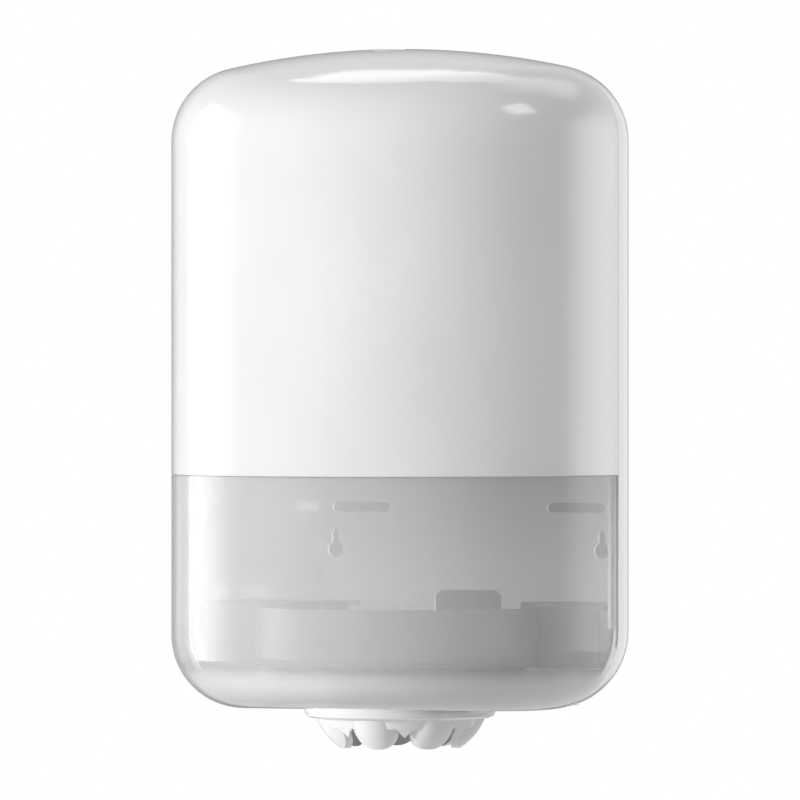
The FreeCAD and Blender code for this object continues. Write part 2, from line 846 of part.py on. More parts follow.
def petal():
    """One convex petal: a bulged shell bent inwards along its spine and cut to a round end."""
    bend = size("petal_spine")
    bulge = size("petal_bulge")
    wall = size("petal_wall")
    top = size("flange_low")
    drop = top - size("petal_low")
    inward = size("skirt_radius") - size("petal_tip_radius")
    chord = math.hypot(drop, inward)
    lean = math.atan2(inward, drop)
    back_off = math.sqrt(bend ** 2 - (chord / 2) ** 2)
    middle = Vector((size("skirt_radius") + size("petal_tip_radius")) / 2, 0, (top + size("petal_low")) / 2)
    centre = middle - Vector(math.cos(lean), 0, -math.sin(lean)) * back_off
    outer = Part.makeTorus(bend - bulge, bulge, centre, Vector(0, 1, 0))
    inner = Part.makeTorus(bend - bulge, bulge - wall, centre, Vector(0, 1, 0))
    half = size("petal_half_width")
    end = size("petal_end_round")
    low = size("petal_low")
    shoulder = low + end
    points = [Vector(0, -half, top + 2), Vector(0, -half, shoulder), Vector(0, 0, low)]
    points += [Vector(0, half, shoulder), Vector(0, half, top + 2)]
    side_low = Vector(0, -half * 0.72, low + end * 0.3)
    side_high = Vector(0, half * 0.72, low + end * 0.3)
    edges = [
        Part.LineSegment(points[0], points[1]),
        Part.Arc(points[1], side_low, points[2]),
        Part.Arc(points[2], side_high, points[3]),
        Part.LineSegment(points[3], points[4]),
        Part.LineSegment(points[4], points[0]),
    ]
    wire = Part.Wire([edge.toShape() for edge in edges])
    tongue = Part.Face(wire).extrude(Vector(size("flange_radius"), 0, 0))
    tongue = tongue.cut(box((-1, -half - 1, low - 1), (size("petal_tip_radius") / 2, half + 1, top + 3)))
    return outer.cut(inner).common(tongue)


def tooth():
    """Tearing tooth in the valley between two petals, with a smaller point on either side."""
    root = size("skirt_low") + 0.8
    half = size("tooth_half_width")
    tip = size("tooth_low")
    wall = size("tooth_wall")
    root_radius = size("skirt_radius") - size("skirt_inset") - 3.6
    side = [(1, 0), (0.92, 0.36), (0.74, 0.15), (0.6, 0.38)]
    front = [Vector(0, -half * across, root - (root - tip) * drop) for across, drop in side]
    front.append(Vector(0, 0, tip))
    front += [Vector(0, half * across, root - (root - tip) * drop) for across, drop in reversed(side)]
    front.append(front[0])
    blade = Part.Face(Part.makePolygon(front)).extrude(Vector(wall, 0, 0))
    lean = math.degrees(math.atan2(root_radius - size("tooth_radius"), root - tip))
    blade.rotate(Vector(0, 0, root), Vector(0, 1, 0), lean)
    blade.translate(Vector(root_radius - wall, 0, 0))
    return blade


def nozzle_ring():
    """Flange, neck and skirt of the nozzle, turned about Z."""
    neck = size("neck_radius")
    bore = neck - size("neck_wall")
    flange = size("flange_radius")
    low = size("flange_low")
    top = size("flange_top")
    skirt = size("skirt_radius") - size("skirt_inset")
    skirt_low = size("skirt_low")
    bevel = size("flange_bevel")
    profile = [
        (bore, size("neck_top")),
        (neck, size("neck_top")),
        (neck, top),
        (flange, top),
        (flange, low + bevel),
        (flange - bevel * 0.3, low + bevel * 0.3),
        (flange - bevel, low),
        (skirt, low),
        (skirt - 3.0, skirt_low),
        (skirt - 4.6, skirt_low),
        (bore - 1.6, low),
        (bore - 1.6, -guide_seat_depth()),
        (bore, -guide_seat_depth()),
        (bore, size("neck_top")),
    ]
    wire = Part.makePolygon([Vector(radius, 0, height) for radius, height in profile])
    return Part.Face(wire).revolve(Vector(0, 0, 0), Vector(0, 0, 1), 360)


def guide_seat_depth():
    """Depth of the ledge in the nozzle that the paper guide rests on."""
    return size("guide_wall")


def nozzle_lug():
    """Bayonet lug above the tray's collar."""
    base = collar_top() + size("lug_gap")
    neck = size("neck_radius")
    half = size("lug_half_width")
    lug = box((neck - 1, -half, base), (neck + size("lug_reach") + 1, half, base + size("lug_height")))
    return lug.common(rod_z(0, 0, base, base + size("lug_height"), neck + size("lug_reach")))


def around(shape, count, start):
    """Copies of a shape spaced evenly about the outlet's axis."""
    copies = []
    for k in range(int(round(count))):
        copy = shape.copy()
        copy.rotate(Vector(0, 0, 0), Vector(0, 0, 1), start + 360 * k / count)
        copies.append(copy)
    return copies


def nozzle():
    """Twist-lock outlet ring with its petals and tearing teeth."""
    step = 360 / size("petal_count")
    turn = size("petal_turn") - 90
    petals = around(petal(), size("petal_count"), turn + step / 2)
    teeth = around(tooth(), size("petal_count"), turn)
    lugs = around(nozzle_lug(), size("lug_count"), -size("unlock_angle"))
    return nozzle_ring().fuse(petals + teeth + lugs)


def paper_guide():
    """Bell-mouthed ring inside the nozzle that the paper is drawn through."""
    body = new_body("paper_guide")
    rim = "neck_radius - neck_wall - guide_gap"
    revolve(body, [
        (rim, "-guide_wall"),
        (rim, "-guide_wall + guide_rim_height"),
        (rim + " - 2", "-guide_wall + guide_rim_height"),
        (rim + " - 6", "guide_rise * 0.25"),
        ("guide_bore + 10", "guide_rise * 0.72"),
        ("guide_bore + 3", "guide_rise - guide_wall * 0.5"),
        ("guide_bore + 1", "guide_rise"),
        ("guide_bore", "guide_rise - guide_wall * 0.7"),
        ("guide_bore", "guide_rise - guide_wall * 1.7"),
        ("guide_bore + 2.5", "guide_rise - guide_wall * 1.9"),
        ("guide_bore + 10", "guide_rise * 0.72 - guide_wall * 1.25"),
        (rim + " - 6", "guide_rise * 0.25 - guide_wall * 1.2"),
        (rim + " - 3", "-guide_wall"),
    ])
    return body


# Lock levels, from the button's face down to the latch

def cap_top():
    return size("body_height") - size("button_recess") - crown_drop(size("lock_setback"))


def cap_underside():
    return cap_top() - size("button_cap")


def guide_top():
    return cap_underside() - size("spring_room")


def guide_underside():
    return guide_top() - size("guide_height")


def cam_top():
    return guide_underside() - size("cam_gap")


def cam_underside():
    return cam_top() - size("cam_thick")


def nose_underside():
    return cam_underside() - size("nose_drop")


def pad_top():
    return nose_underside() - size("pad_gap")


def latch_pivot_height():
    return pad_top() - size("lever_drop")


def latch_pivot_depth():
    return -size("lock_setback") - size("lever_arm")


CAP_TOP = "(body_height - button_recess - lock_setback ^ 2 / (2 * crown_radius))"
CAP_LOW = "(" + CAP_TOP + " - button_cap)"
GUIDE_TOP = "(" + CAP_LOW + " - spring_room)"
GUIDE_LOW = "(" + GUIDE_TOP + " - guide_height)"
CAM_TOP = "(" + GUIDE_LOW + " - cam_gap)"
CAM_LOW = "(" + CAM_TOP + " - cam_thick)"
NOSE_LOW = "(" + CAM_LOW + " - nose_drop)"
PAD_TOP = "(" + NOSE_LOW + " - pad_gap)"
PIVOT = "(" + PAD_TOP + " - lever_drop)"
PIVOT_DEPTH = "(-lock_setback - lever_arm)"
CASE_LOW = "(" + GUIDE_TOP + " - case_depth)"


def turned_at_lock(label, corners):
    """Turned piece on the button's own axis."""
    body = new_body(label)
    body.setExpression("Placement.Base.y", bound("-rear_depth - lock_setback"))
    revolve(body, corners)
    return body


def lock_button():
    """Push button: a cap on a tube, with a bore for the key barrel."""
    bore = "barrel_radius + slide_gap"
    head = "barrel_head + slide_gap"
    seat_level = CAP_TOP + " - barrel_head_height - 0.4"
    return turned_at_lock("lock_button", [
        (head, CAP_TOP),
        ("button_radius - 0.6", CAP_TOP),
        ("button_radius", CAP_TOP + " - 0.6"),
        ("button_radius", CAP_LOW),
        ("button_tube", CAP_LOW),
        ("button_tube", GUIDE_LOW + " + 0.2"),
        (bore, GUIDE_LOW + " + 0.2"),
        (bore, seat_level),
        (head, seat_level),
    ])


def lock_barrel():
    """Key barrel with a head, a spigot for the cam and two holes for the key's prongs."""
    head_low = CAP_TOP + " - barrel_head_height - 0.35"
    body = turned_at_lock("lock_barrel", [
        ("0 * barrel_radius", CAP_TOP + " - 0.3"),
        ("barrel_head", CAP_TOP + " - 0.3"),
        ("barrel_head", head_low),
        ("barrel_radius", head_low),
        ("barrel_radius", CAM_TOP),
        ("spigot_radius", CAM_TOP),
        ("spigot_radius", CAM_LOW + " - clip_thick - 0.1"),
        ("spigot_radius - 0.4", CAM_LOW + " - clip_thick - 0.5"),
        ("0 * barrel_radius", CAM_LOW + " - clip_thick - 0.5"),
    ])
    holes = new_sketch(body, "XY_Plane", CAP_TOP)
    circle(holes, "key_hole_offset", "0 * key_hole_offset", "key_hole_radius")
    circle(holes, "-key_hole_offset", "0 * key_hole_offset", "key_hole_radius")
    pocket(body, holes, "key_hole_depth")
    return body


def lock_cam():
    """Finger under the button that the barrel turns on to the latch's pad, or clear of it."""
    body = new_body("lock_cam")
    plan = new_sketch(body, "XY_Plane", CAM_LOW)
    wide = "(cam_width / 2)"
    nip = "(cam_width / 4)"
    centre = "-lock_setback"
    polygon(plan, [
        ("-" + wide, centre + " - " + nip),
        ("-" + nip, centre + " - " + wide),
        (nip, centre + " - " + wide),
        (wide, centre + " - " + nip),
        (wide, centre + " + cam_reach"),
        (nip, centre + " + cam_reach + " + nip),
        ("-" + nip, centre + " + cam_reach + " + nip),
        ("-" + wide, centre + " + cam_reach"),
    ])
    circle(plan, "0 * cam_width", centre, "spigot_radius + 0.02")
    pad(body, plan, "cam_thick")
    nose = new_sketch(body, "XY_Plane", NOSE_LOW)
    rectangle(nose, "-nose_half_width", centre + " + cam_reach - nose_half_depth",
              "nose_half_width", centre + " + cam_reach + nose_half_depth")
    pad(body, nose, "nose_drop + cam_thick / 2")
    return body


def barrel_clip():
    """Spring washer that keeps the cam on the barrel's spigot."""
    return turned_at_lock("barrel_clip", [
        ("spigot_radius + 0.02", CAM_LOW + " - clip_thick"),
        ("clip_radius", CAM_LOW + " - clip_thick"),
        ("clip_radius", CAM_LOW),
        ("spigot_radius + 0.02", CAM_LOW),
    ])


def lock_housing():
    """Case under the cover's roof that guides the button and carries the latch."""
    body = new_body("lock_housing")
    front = "(-lock_setback - case_front)"
    rear = "(-lock_setback + case_rear)"
    block = new_sketch(body, "XY_Plane", CASE_LOW)
    rectangle(block, "-case_half_width", front, "case_half_width", rear)
    pad(body, block, "case_depth")
    ears = new_sketch(body, "XY_Plane", GUIDE_LOW)
    reach = "(case_half_width + ear_reach)"
    low = "(-lock_setback - ear_half_depth)"
    high = "(-lock_setback + ear_half_depth)"
    rectangle(ears, "-" + reach, low, reach, high)
    pad(body, ears, "guide_height")
    hollow = new_sketch(body, "YZ_Plane")
    rectangle(hollow, front + " + case_wall", CASE_LOW + " + case_wall", rear + " + 1", GUIDE_LOW)
    pocket(body, hollow, "2 * (case_half_width - case_wall)", middle=True)
    bore = new_sketch(body, "XY_Plane", GUIDE_TOP + " + 1")
    circle(bore, "0 * button_tube", "-lock_setback", "button_tube + slide_gap")
    pocket(body, bore, "guide_height + 2")
    screws = new_sketch(body, "XY_Plane", GUIDE_TOP + " + 1")
    place = "(case_half_width + ear_reach / 2)"
    circle(screws, place, "-lock_setback", "screw_radius + screw_gap")
    circle(screws, "-" + place, "-lock_setback", "screw_radius + screw_gap")
    pocket(body, screws, "guide_height + 2")
    pivot = new_sketch(body, "YZ_Plane")
    circle(pivot, PIVOT_DEPTH, PIVOT, "latch_pin_radius + 0.02")
    pocket(body, pivot, "2 * case_half_width + 2", middle=True)
    return body


def latch_hook():
    """Lever that the button presses, with a hook behind the strike."""
    body = new_body("latch_hook")
    face = "(strike_place + strike_thick + hook_gap)"
    back = "(strike_place + strike_thick + hook_gap + hook_thick)"
    under = PIVOT + " - lever_half_thick"
    over = PIVOT + " + lever_half_thick"
    tip = PIVOT + " + hook_height"
    side = new_sketch(body, "YZ_Plane")
    polygon(side, [
        (PIVOT_DEPTH, under),
        (back, under),
        (back, tip + " - hook_ramp"),
        (back + " - hook_ramp", tip),
        (face, tip),
        (face, over),
        (PIVOT_DEPTH, over),
    ])
    pad(body, side, "2 * lever_half_width", middle=True)
    eye = new_sketch(body, "YZ_Plane")
    circle(eye, PIVOT_DEPTH, PIVOT, "eye_radius")
    pad(body, eye, "2 * lever_half_width", middle=True)
    bump = new_sketch(body, "YZ_Plane")
    circle(bump, "-lock_setback + cam_reach", PAD_TOP + " - pad_radius", "pad_radius")
    pad(body, bump, "2 * lever_half_width", middle=True)
    bore = new_sketch(body, "YZ_Plane")
    circle(bore, PIVOT_DEPTH, PIVOT, "latch_pin_radius + slide_gap")
    pocket(body, bore, "2 * lever_half_width + 2", middle=True)
    return body


def latch_pin():
    pin = doc.addObject("Part::Cylinder", "latch_pin")
    pin.setExpression("Radius", bound("latch_pin_radius"))
    pin.setExpression("Height", bound("2 * case_half_width"))
    pin.Placement = FreeCAD.Placement(Vector(0, 0, 0), Rotation(Vector(0, 1, 0), 90))
    seat(pin, "latch_pin")
    pin.setExpression("Placement.Base.x", bound("-case_half_width"))
    pin.setExpression("Placement.Base.y", bound(PIVOT_DEPTH + " - rear_depth"))
    pin.setExpression("Placement.Base.z", bound(PIVOT + " - fixing_height - fixing_spread / 2"))
    return pin


def latch_strike():
    """Bent plate under the base's roof that the hook catches."""
    body = new_body("latch_strike")
    high = "(" + PIVOT + " + strike_high)"
    low = "(" + PIVOT + " + strike_low)"
    side = new_sketch(body, "YZ_Plane")
    polygon(side, [
        ("strike_place", low),
        ("strike_place + strike_thick", low),
        ("strike_place + strike_thick", high + " - strike_thick"),
        ("strike_place + strike_depth", high + " - strike_thick"),
        ("strike_place + strike_depth", high),
        ("strike_place", high),
    ])
    pad(body, side, "2 * strike_half_width", middle=True)
    holes = new_sketch(body, "XY_Plane", high + " + 1")
    depth = "strike_place + strike_depth * 0.62"
    circle(holes, "strike_hole_offset", depth, "screw_radius + screw_gap")
    circle(holes, "-strike_hole_offset", depth, "screw_radius + screw_gap")
    pocket(body, holes, "strike_thick + 2")
    return body


# Springs

def coil(radius, turns, start, end, place):
    """Open coil spring whose wire has six flat sides."""
    wire = size("wire_radius")
    low = start + wire
    pitch = (end - start - 2 * wire) / turns
    path = Part.makeHelix(pitch, pitch * turns, radius)
    corners = [Vector(radius + wire * math.cos(k * math.pi / 3), 0, wire * math.sin(k * math.pi / 3))
               for k in range(6)]
    ring = Part.makePolygon(corners + corners[:1])
    shape = Part.Wire(path).makePipeShell([ring], True, True)
    shape.translate(place + Vector(0, 0, low))
    return Part.makeCompound([shape])


def button_spring():
    place = Vector(0, -size("lock_setback"), 0)
    turns = size("button_spring_turns")
    return coil(size("button_spring_radius"), turns, guide_top() + 0.1, cap_underside() - 0.1, place)


def latch_spring():
    place = Vector(0, -size("lock_setback") + size("latch_spring_place"), 0)
    low = guide_top() - size("case_depth") + size("case_wall") + 0.1
    high = latch_pivot_height() - size("lever_half_thick") - 0.1
    return coil(size("latch_spring_radius"), size("latch_spring_turns"), low, high, place)


# Screws

def pan_screw(across, depth, seat_height):
    """Screw with a low round head under its seat, pointing up."""
    head = size("screw_head_height")
    low = seat_height - head
    dome = rod_z(across, depth, low, seat_height, size("screw_head_radius"))
    rim = [edge for edge in dome.Edges if abs(edge.BoundBox.ZMax - low) < 0.01]
    dome = dome.makeFillet(head * 0.45, rim)
    shank = rod_z(across, depth, low + head / 2, seat_height + size("screw_length"), size("screw_radius"))
    slot = size("screw_head_radius") * 0.5
    cross = box((across - slot, depth - 0.4, low - 1), (across + slot, depth + 0.4, low + 0.8))
    cross = cross.fuse(box((across - 0.4, depth - slot, low - 1), (across + 0.4, depth + slot, low + 0.8)))
    return dome.fuse(shank).cut(cross)


def lock_screws():
    """Two screws that hold the lock case to the cover's bosses."""
    places = [side * lock_ear_place() for side in (-1, 1)]
    return Part.makeCompound([pan_screw(across, -size("lock_setback"), guide_underside()) for across in places])


def strike_screws():
    """Two screws that hold the strike to the base's bosses."""
    depth = size("strike_place") + size("strike_depth") * 0.62
    level = strike_level() - size("strike_thick")
    places = [side * size("strike_hole_offset") for side in (-1, 1)]
    return Part.makeCompound([pan_screw(across, depth, level) for across in places])


def tray_screw(across, depth):
    """Flat-headed screw let into the tray's wing, pointing down."""
    seat_height = size("wing_top") - size("wing_thick") * 0.5
    head = size("wing_thick") * 0.4
    disc = rod_z(across, depth, seat_height, seat_height + head, size("tray_screw_head"))
    low = wing_underside() - size("tray_screw_length")
    shank = rod_z(across, depth, low, seat_height + head / 2, size("tray_screw_radius"))
    slot = size("tray_screw_head") * 0.55
    top = seat_height + head + 1
    cross = box((across - slot, depth - 0.45, top - 1.6), (across + slot, depth + 0.45, top))
    cross = cross.fuse(box((across - 0.45, depth - slot, top - 1.6), (across + 0.45, depth + slot, top)))
    return disc.fuse(shank).cut(cross)


def tray_screws():
    return Part.makeCompound([tray_screw(*place) for place in pillar_places()])


# The pieces

solid_piece("back_shell", back_shell())
solid_piece("cover_shell", cover_shell())
solid_piece("cover_window", cover_window())
hinge_pin(-1)
hinge_pin(1)
roll_tray()
solid_piece("tray_screws", tray_screws())
solid_piece("nozzle", nozzle())
paper_guide()
lock_housing()
lock_button()
lock_barrel()
lock_cam()
barrel_clip()
latch_hook()
latch_pin()
latch_strike()
solid_piece("button_spring", button_spring())
solid_piece("latch_spring", latch_spring())
solid_piece("lock_screws", lock_screws())
solid_piece("strike_screws", strike_screws())
doc.recompute()

# Every object must have recomputed, and every piece must be a valid solid, before any is written

for item in doc.Objects:
    if "Invalid" in item.State or "Error" in item.State:
        raise RuntimeError("%s failed to recompute: %s" % (item.Label, item.State))
for piece in pieces:
    shape = piece.Shape
    if shape.isNull() or not shape.isValid() or not shape.Solids:
        raise RuntimeError("%s is not a valid solid" % piece.Label)

os.makedirs("parts", exist_ok=True)
for piece in pieces:
    piece.Shape.exportStep(os.path.join("parts", piece.Label + ".step"))
    solids = len(piece.Shape.Solids)
    print("%-16s %2d solid(s) %12.1f mm3" % (piece.Label, solids, piece.Shape.Volume))
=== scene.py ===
import math

import bpy
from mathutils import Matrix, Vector


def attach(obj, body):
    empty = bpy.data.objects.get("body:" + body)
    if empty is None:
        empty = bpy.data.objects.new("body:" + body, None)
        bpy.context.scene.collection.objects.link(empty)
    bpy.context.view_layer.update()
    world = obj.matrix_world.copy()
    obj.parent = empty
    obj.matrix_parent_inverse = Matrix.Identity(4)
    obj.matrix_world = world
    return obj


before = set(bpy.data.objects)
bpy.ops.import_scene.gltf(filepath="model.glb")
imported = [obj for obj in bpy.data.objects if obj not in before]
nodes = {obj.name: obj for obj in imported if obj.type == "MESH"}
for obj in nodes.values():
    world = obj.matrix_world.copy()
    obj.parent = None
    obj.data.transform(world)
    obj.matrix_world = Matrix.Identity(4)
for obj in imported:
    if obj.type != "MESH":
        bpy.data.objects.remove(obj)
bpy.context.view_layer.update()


# Node helpers

def new_tree(name):
    material = bpy.data.materials.new(name)
    material.use_nodes = True
    material.node_tree.nodes.clear()
    return material, material.node_tree


def link(tree, source, output, target, socket):
    tree.links.new(source.outputs[output], target.inputs[socket])


def maths(tree, operation, *inputs):
    """Math node. Each input is a number, or a node with the name of its output."""
    made = tree.nodes.new("ShaderNodeMath")
    made.operation = operation
    for k, value in enumerate(inputs):
        if isinstance(value, tuple):
            link(tree, *value, made, k)
        else:
            made.inputs[k].default_value = value
    return made


def spread(tree, source, before, after, soft=False):
    """Maps a node's output from one span of values to another."""
    made = tree.nodes.new("ShaderNodeMapRange")
    if soft:
        made.interpolation_type = "SMOOTHSTEP"
    made.inputs["From Min"].default_value, made.inputs["From Max"].default_value = before
    made.inputs["To Min"].default_value, made.inputs["To Max"].default_value = after
    link(tree, *source, made, "Value")
    return made


def object_place(tree):
    """Place in object space, which is the object's own frame in metres, split into X, Y and Z."""
    place = tree.nodes.new("ShaderNodeTexCoord")
    split = tree.nodes.new("ShaderNodeSeparateXYZ")
    link(tree, place, "Object", split, "Vector")
    return split


# Materials

# Noise: the span of its values that is used, its scales per metre, the depth of the skin's bumps in
# metres, and the share by which roughness varies.
NOISE_SPAN = (0.3, 0.7)
CLOUD_SCALE = 14.0
POLISH_SCALE = 45.0
SKIN_SCALE = 900.0
FINE_DETAIL = 3.0
SKIN_DEPTH = 0.0002
POLISH_SHARE = 0.15
LINE_STRETCH = (60, 1400, 1400)
LINE_SHARE = 0.3

# Share of the window's way to full opacity: this power of the slant, or up to CORNER_SHARE between
# the heights of CORNER_SPAN, where the bottom corner starts.
SLANT_POWER = 8.0
CORNER_SPAN = (-0.1665, -0.1555)
CORNER_SHARE = 0.8

# Colour sockets of a Mix node, which share their names with its other sockets.
MIX_LOW, MIX_HIGH, MIX_RESULT = 6, 7, 2


def noise(tree, scale, detail=2.0):
    """Noise in object space."""
    place = tree.nodes.new("ShaderNodeTexCoord")
    made = tree.nodes.new("ShaderNodeTexNoise")
    made.inputs["Scale"].default_value = scale
    made.inputs["Detail"].default_value = detail
    link(tree, place, "Object", made, "Vector")
    return made


def ramp(tree, source, low, high):
    """A noise's factor spread between two values."""
    return spread(tree, (source, 0), NOISE_SPAN, (low, high))


def depth_of_wall(tree, alpha):
    """Opacity of the window: as given when seen square on, more at a steep slant and where the wall
    thickens into the bottom corner."""
    weight = tree.nodes.new("ShaderNodeLayerWeight")
    weight.inputs["Blend"].default_value = 0.5
    slant = maths(tree, "POWER", (weight, "Facing"), SLANT_POWER)
    height = (object_place(tree), "Z")
    corner = spread(tree, height, CORNER_SPAN, (CORNER_SHARE, 0.0), soft=True)
    both = maths(tree, "MAXIMUM", (slant, "Value"), (corner, "Result"))
    opacity = spread(tree, (both, "Value"), (0.0, 1.0), (alpha, 1.0))
    return opacity.outputs["Result"]


def moulded(name, colour, rough, wave=0.02, grain=0.004, alpha=None, specular=0.5):
    """Moulded plastic: colour and gloss vary very slightly, as resin and tool polish do."""
    material, tree = new_tree(name)
    shader = tree.nodes.new("ShaderNodeBsdfPrincipled")
    shader.inputs["IOR"].default_value = 1.5
    shader.inputs["Specular IOR Level"].default_value = specular
    tint = tree.nodes.new("ShaderNodeMix")
    tint.data_type = "RGBA"
    tint.inputs[MIX_LOW].default_value = (*[c * (1 - wave) for c in colour], 1)
    tint.inputs[MIX_HIGH].default_value = (*[min(1.0, c * (1 + wave)) for c in colour], 1)
    share = ramp(tree, noise(tree, CLOUD_SCALE), 0.0, 1.0)
    link(tree, share, "Result", tint, 0)
    link(tree, tint, MIX_RESULT, shader, "Base Color")
    polish = noise(tree, POLISH_SCALE, FINE_DETAIL)
    gloss = ramp(tree, polish, rough * (1 - POLISH_SHARE), rough * (1 + POLISH_SHARE))
    link(tree, gloss, "Result", shader, "Roughness")
    bump = tree.nodes.new("ShaderNodeBump")
    bump.inputs["Strength"].default_value = grain
    bump.inputs["Distance"].default_value = SKIN_DEPTH
    link(tree, noise(tree, SKIN_SCALE, FINE_DETAIL), 0, bump, "Height")
    link(tree, bump, "Normal", shader, "Normal")
    if alpha is not None:
        tree.links.new(depth_of_wall(tree, alpha), shader.inputs["Alpha"])
    end = tree.nodes.new("ShaderNodeOutputMaterial")
    link(tree, shader, "BSDF", end, "Surface")
    return material


def plated(name, colour, rough):
    """Zinc-plated steel with fine drawn lines."""
    material, tree = new_tree(name)
    shader = tree.nodes.new("ShaderNodeBsdfPrincipled")
    shader.inputs["Base Color"].default_value = (*colour, 1)
    shader.inputs["Metallic"].default_value = 1.0
    place = tree.nodes.new("ShaderNodeTexCoord")
    stretch = tree.nodes.new("ShaderNodeMapping")
    stretch.inputs["Scale"].default_value = LINE_STRETCH
    lines = tree.nodes.new("ShaderNodeTexNoise")
    lines.inputs["Scale"].default_value = 1.0
    link(tree, place, "Object", stretch, "Vector")
    link(tree, stretch, "Vector", lines, "Vector")
    gloss = ramp(tree, lines, rough * (1 - LINE_SHARE), rough * (1 + LINE_SHARE))
    link(tree, gloss, "Result", shader, "Roughness")
    end = tree.nodes.new("ShaderNodeOutputMaterial")
    link(tree, shader, "BSDF", end, "Surface")
    return material


shell_white = moulded("shell_white", (0.80, 0.80, 0.80), 0.10)
window_grey = moulded("window_grey", (0.57, 0.57, 0.57), 0.07, alpha=0.355, specular=0.6)
inner_white = moulded("inner_white", (0.74, 0.74, 0.74), 0.32, grain=0.02)
# The tray's own pale grey, darkened so that it renders as dim as the band inside the housing:
# painted shade.
tray_grey = moulded("tray_grey", (0.22, 0.22, 0.22), 0.32, grain=0.02)
nozzle_white = moulded("nozzle_white", (0.76, 0.76, 0.76), 0.14)
button_grey = moulded("button_grey", (0.70, 0.70, 0.72), 0.18)
barrel_grey = moulded("barrel_grey", (0.22, 0.23, 0.25), 0.4, grain=0.02)
# Near black for the strip in the seam: painted shade of the gap.
seam_shade_grey = moulded("seam_shade_grey", (0.04, 0.04, 0.04), 0.5, grain=0.02)
steel = plated("steel", (0.62, 0.62, 0.63), 0.28)

STEEL_NODES = [
    "hinge_pin_left", "hinge_pin_right", "barrel_clip", "latch_pin", "latch_strike",
    "button_spring", "latch_spring", "lock_screws", "strike_screws", "tray_screws",
]
FINISH = {
    "shell_white": (shell_white, ["cover_shell", "back_shell"]),
    "window_grey": (window_grey, ["cover_window"]),
    "inner_white": (inner_white, ["paper_guide", "lock_housing", "latch_hook"]),
    "tray_grey": (tray_grey, ["roll_tray"]),
    "nozzle_white": (nozzle_white, ["nozzle"]),
    "button_grey": (button_grey, ["lock_button"]),
    "barrel_grey": (barrel_grey, ["lock_barrel", "lock_cam"]),
    "steel": (steel, STEEL_NODES),
}
for slot_name, (material, names) in FINISH.items():
    for name in names:
        nodes[name].data.materials.clear()
        nodes[name].data.materials.append(material)

# The lamps light the inside through the window.
nodes["cover_window"].visible_shadow = False


# Dark strip in the seam: painted shade of the gap between cover and base

SEAM = -0.1135
HALF_GAP = 0.00025
SHADE_STRIP_END = -0.150

# Corners of the dark strip's section, which paints the gap's shade: how far inside the rim, and how
# far from the seam's plane.
SHADE_STRIP_SECTION = [(0.0003, -0.0002), (0.0003, 0.0002), (0.0012, 0.0002), (0.0012, -0.0002)]

# A vertex this near to the rim's plane lies on it, and the cross product at a corner of the hull is
# larger than this.
RIM_TOLERANCE = 0.00001
TURN_TOLERANCE = 1e-9


def seam_outline():
    """Outline of the base's flat rim at the seam, as its convex hull, from the lower left over the
    top to the lower right."""
    rim = SEAM + HALF_GAP
    vertices = nodes["back_shell"].data.vertices
    on_rim = [vertex.co for vertex in vertices if abs(vertex.co.y - rim) < RIM_TOLERANCE]
    places = sorted({(round(co.x, 6), round(co.z, 6)) for co in on_rim})
    hull = set()
    for row in (places, places[::-1]):
        side = []
        for x, z in row:
            while len(side) > 1:
                (ax, az), (bx, bz) = side[-2:]
                if (bx - ax) * (z - az) - (bz - az) * (x - ax) > TURN_TOLERANCE:
                    break
                side.pop()
            side.append((x, z))
        hull.update(side)
    upper = [place for place in hull if place[1] > SHADE_STRIP_END]
    upper.sort(key=lambda place: math.atan2(*place))
    return [Vector((x, 0, z)) for x, z in upper]


def build_seam_shade_strip():
    """Thin dark strip in the gap between the cover and the base: painted shade, standing in for the
    shadow in the gap.
    """
    rim = seam_outline()
    verts, faces = [], []
    for k, place in enumerate(rim):
        along = (rim[min(k + 1, len(rim) - 1)] - rim[max(k - 1, 0)]).normalized()
        inward = Vector((along.z, 0, -along.x))
        for depth, reach in SHADE_STRIP_SECTION:
            spot = place + inward * depth
            verts.append((spot.x, SEAM + reach, spot.z))
    sides = len(SHADE_STRIP_SECTION)
    last = sides * (len(rim) - 1)
    for here in range(0, last, sides):
        there = here + sides
        for m in range(sides):
            n = (m + 1) % sides
            faces.append((here + n, here + m, there + m, there + n))
    faces.append(tuple(range(sides)))
    faces.append(tuple(range(last + sides - 1, last - 1, -1)))
    mesh = bpy.data.meshes.new("seam_shade_strip")
    mesh.from_pydata(verts, [], faces)
    mesh.materials.append(seam_shade_grey)
    shade_strip = bpy.data.objects.new("seam_shade_strip", mesh)
    bpy.context.scene.collection.objects.link(shade_strip)
    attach(shade_strip, "cabinet")


build_seam_shade_strip()


# World

WORLD_LIGHT = 0.28
# Level of the background seen behind the window and its openings, darker than white: painted shade.
BEHIND_LIGHT = 0.12

# Transparent Depth is 0 before the window and 1 or more behind it, so any span between them will do.
WINDOW_PASSED = (0.5, 0.6)


